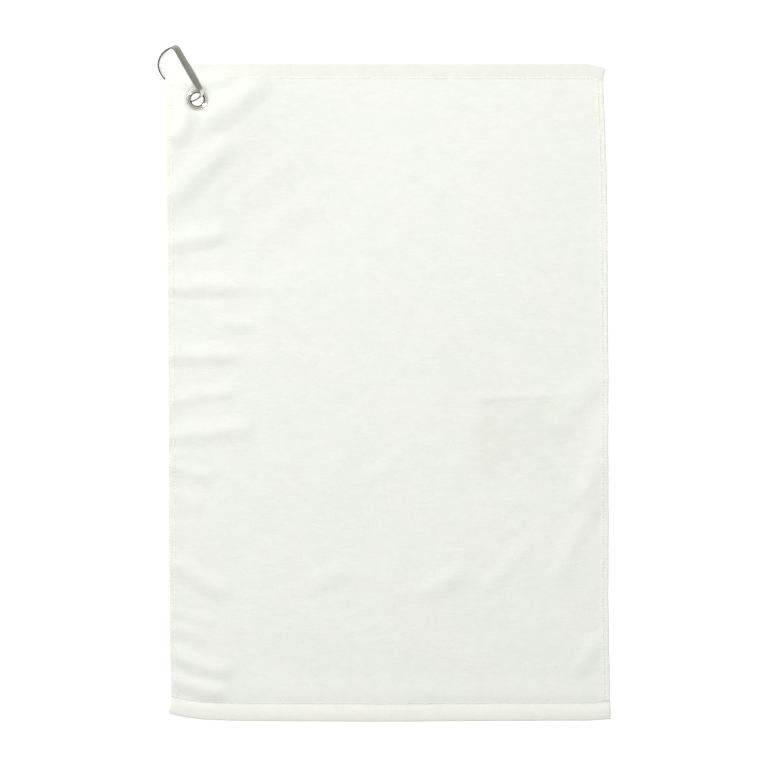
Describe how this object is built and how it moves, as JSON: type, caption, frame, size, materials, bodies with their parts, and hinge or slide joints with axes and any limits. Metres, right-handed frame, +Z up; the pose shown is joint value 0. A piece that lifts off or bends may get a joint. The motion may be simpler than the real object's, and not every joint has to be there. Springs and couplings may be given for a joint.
{
  "type": "golf towel",
  "caption": "White hemmed cotton towel laid flat, with a metal grommet in its lifted corner and a bent flat-strip snap hook through the grommet.",
  "frame": {"origin": "on the surface the towel lies on, under the middle of the whole object's outline", "axes": "+Z up, away from that surface and out of the towel's face; +Y along the towel's long side, towards the end with the grommet; +X across the towel, with the grommet at its -X side"},
  "size_m": [0.4174, 0.6244, 0.0264],
  "materials": {
    "white_cotton": "matt cotton velour pile",
    "cream_thread": "spun polyester thread",
    "nickel_plate": "polished nickel plate, slightly warm",
    "satin_nickel_strip": "nickel-plated spring steel strip"
  },
  "bodies": {
    "towel": {"towel_cloth": "white_cotton", "stitch_row_top": "cream_thread", "stitch_row_bottom": "cream_thread", "stitch_row_left": "cream_thread", "stitch_row_right": "cream_thread", "grommet_eyelet": "nickel_plate", "grommet_washer": "nickel_plate"},
    "hook": {"hook_body": "satin_nickel_strip"},
    "gate": {"hook_gate": "satin_nickel_strip"}
  },
  "joints": [
    {"name": "hook_swing", "type": "hinge", "parent": "towel", "child": "hook", "pos_m": [-0.1722, 0.2622, 0.0171], "axis": [0, 0, 1], "range_deg": [-30, 45]},
    {"name": "gate_open", "type": "hinge", "parent": "hook", "child": "gate", "pos_m": [-0.19207, 0.26637, 0.0029], "axis": [0.5906, 0.341, -0.7314], "range_deg": [0, 15], "stiffness_Nm_per_rad": 0.8, "springref_deg": -8.59}
  ]
}
